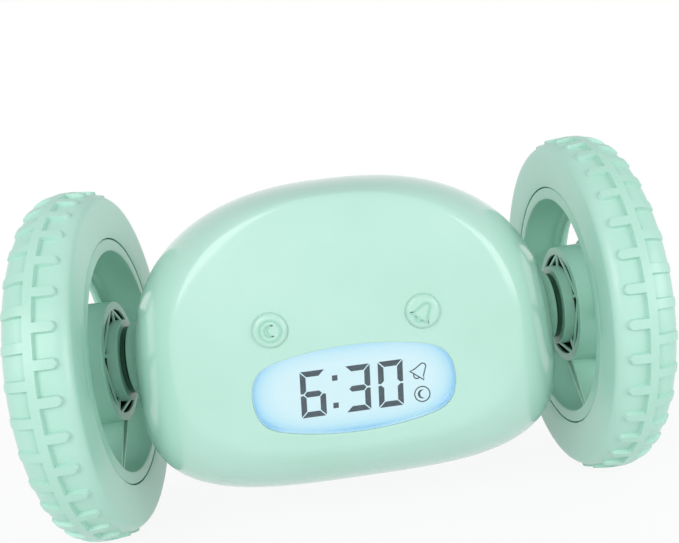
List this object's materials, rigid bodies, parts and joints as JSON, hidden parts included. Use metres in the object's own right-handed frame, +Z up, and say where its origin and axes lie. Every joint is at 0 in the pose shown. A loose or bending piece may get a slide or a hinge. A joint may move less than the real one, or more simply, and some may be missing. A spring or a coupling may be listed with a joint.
{
  "type": "runaway alarm clock",
  "caption": "Digital alarm clock with a rounded body hung between two large driven wheels; two front buttons, a lit LCD window, and geared motors inside.",
  "frame": {"origin": "point on the floor under the middle of the wheel axis; bottom centre of the bounding box", "axes": "+X along the wheel axis to the right as seen from the front, -Y out of the display face, +Z up"},
  "size_m": [0.144, 0.089, 0.089],
  "materials": {
    "body_mint": "gloss moulded ABS",
    "wheel_mint": "satin moulded plastic",
    "tyre_mint": "soft satin rubber",
    "dark_plastic": "satin",
    "grey_plastic": "satin",
    "white_plastic": "satin",
    "lens": "clear polished acrylic",
    "lcd": "backlit LCD",
    "light_guide": "frosted",
    "board_green": "solder mask on glass-fibre board",
    "steel": "zinc plated",
    "motor_can": "plated can",
    "gear_plastic": "natural acetal",
    "cell": "printed sleeve, unmarked",
    "speaker_steel": "pressed basket and magnet, dark plated",
    "cone": "paper cone"
  },
  "bodies": {
    "clock_body": {"front_shell": "body_mint", "rear_shell": "body_mint", "battery_door": "body_mint", "battery_door_screw": "steel", "case_screws": "steel", "board_screws": "steel", "battery_contacts": "steel", "display_lens": "lens", "lcd_frame": "white_plastic", "lcd_glass": "lcd", "backlight_guide": "light_guide", "main_board": "board_green", "set_board": "board_green", "button_switches": "dark_plastic", "set_switches": "dark_plastic", "wheel_switch": "dark_plastic", "speaker_frame": "speaker_steel", "speaker_cone": "cone", "battery_box": "grey_plastic", "batteries": "cell", "motor_left": "motor_can", "idler_pin_left": "steel", "gearbox_case_left": "grey_plastic", "gearbox_cover_left": "grey_plastic", "axle_bush_left": "dark_plastic", "motor_right": "motor_can", "idler_pin_right": "steel", "gearbox_case_right": "grey_plastic", "gearbox_cover_right": "grey_plastic", "axle_bush_right": "dark_plastic"},
    "wheel_left": {"axle_left": "steel", "output_gear_left": "gear_plastic", "hub_washer_left": "dark_plastic", "rim_left": "wheel_mint", "tyre_left": "tyre_mint", "hub_cap_left": "wheel_mint", "wheel_screw_left": "steel"},
    "idler_left": {"idler_gear_left": "gear_plastic"},
    "rotor_left": {"motor_shaft_left": "steel", "motor_pinion_left": "gear_plastic"},
    "wheel_right": {"axle_right": "steel", "output_gear_right": "gear_plastic", "hub_washer_right": "dark_plastic", "rim_right": "wheel_mint", "tyre_right": "tyre_mint", "hub_cap_right": "wheel_mint", "wheel_screw_right": "steel"},
    "idler_right": {"idler_gear_right": "gear_plastic"},
    "rotor_right": {"motor_shaft_right": "steel", "motor_pinion_right": "gear_plastic"},
    "snooze_button": {"snooze_button": "body_mint"},
    "alarm_button": {"alarm_button": "body_mint"},
    "hour_button": {"hour_button": "body_mint"},
    "minute_button": {"minute_button": "body_mint"},
    "clock_set_button": {"clock_set_button": "body_mint"},
    "alarm_set_button": {"alarm_set_button": "body_mint"},
    "switch_knob": {"wheel_switch_knob": "dark_plastic"}
  },
  "joints": [
    {"name": "wheel_spin_left", "type": "hinge", "parent": "clock_body", "child": "wheel_left", "pos_m": [-0.0645, 0, 0.0445], "axis": [1, 0, 0], "continuous": true},
    {"name": "idler_spin_left", "type": "hinge", "parent": "clock_body", "child": "idler_left", "pos_m": [-0.033, -0.01274, 0.03895], "axis": [1, 0, 0], "continuous": true},
    {"name": "rotor_spin_left", "type": "hinge", "parent": "clock_body", "child": "rotor_left", "pos_m": [-0.015, -0.0145, 0.029], "axis": [1, 0, 0], "continuous": true},
    {"name": "wheel_spin_right", "type": "hinge", "parent": "clock_body", "child": "wheel_right", "pos_m": [0.0645, 0, 0.0445], "axis": [1, 0, 0], "continuous": true},
    {"name": "idler_spin_right", "type": "hinge", "parent": "clock_body", "child": "idler_right", "pos_m": [0.033, -0.01274, 0.03895], "axis": [1, 0, 0], "continuous": true},
    {"name": "rotor_spin_right", "type": "hinge", "parent": "clock_body", "child": "rotor_right", "pos_m": [0.015, -0.0145, 0.029], "axis": [1, 0, 0], "continuous": true},
    {"name": "snooze_button_press", "type": "slide", "parent": "clock_body", "child": "snooze_button", "axis": [0, 1, 0], "range_m": [0, 0.0008], "stiffness_N_per_m": 400},
    {"name": "alarm_button_press", "type": "slide", "parent": "clock_body", "child": "alarm_button", "axis": [0, 1, 0], "range_m": [0, 0.0008], "stiffness_N_per_m": 400},
    {"name": "hour_button_press", "type": "slide", "parent": "clock_body", "child": "hour_button", "axis": [0, -1, 0], "range_m": [0, 0.0008], "stiffness_N_per_m": 400},
    {"name": "minute_button_press", "type": "slide", "parent": "clock_body", "child": "minute_button", "axis": [0, -1, 0], "range_m": [0, 0.0008], "stiffness_N_per_m": 400},
    {"name": "clock_set_button_press", "type": "slide", "parent": "clock_body", "child": "clock_set_button", "axis": [0, -1, 0], "range_m": [0, 0.0008], "stiffness_N_per_m": 400},
    {"name": "alarm_set_button_press", "type": "slide", "parent": "clock_body", "child": "alarm_set_button", "axis": [0, -1, 0], "range_m": [0, 0.0008], "stiffness_N_per_m": 400},
    {"name": "wheel_switch_slide", "type": "slide", "parent": "clock_body", "child": "switch_knob", "axis": [1, 0, 0], "range_m": [0, 0.004]}
  ],
  "couplings": [
    {"joint": "idler_spin_left", "follows": "wheel_spin_left", "ratio": -3.6},
    {"joint": "rotor_spin_left", "follows": "wheel_spin_left", "ratio": 10.8},
    {"joint": "idler_spin_right", "follows": "wheel_spin_right", "ratio": -3.6},
    {"joint": "rotor_spin_right", "follows": "wheel_spin_right", "ratio": 10.8}
  ]
}
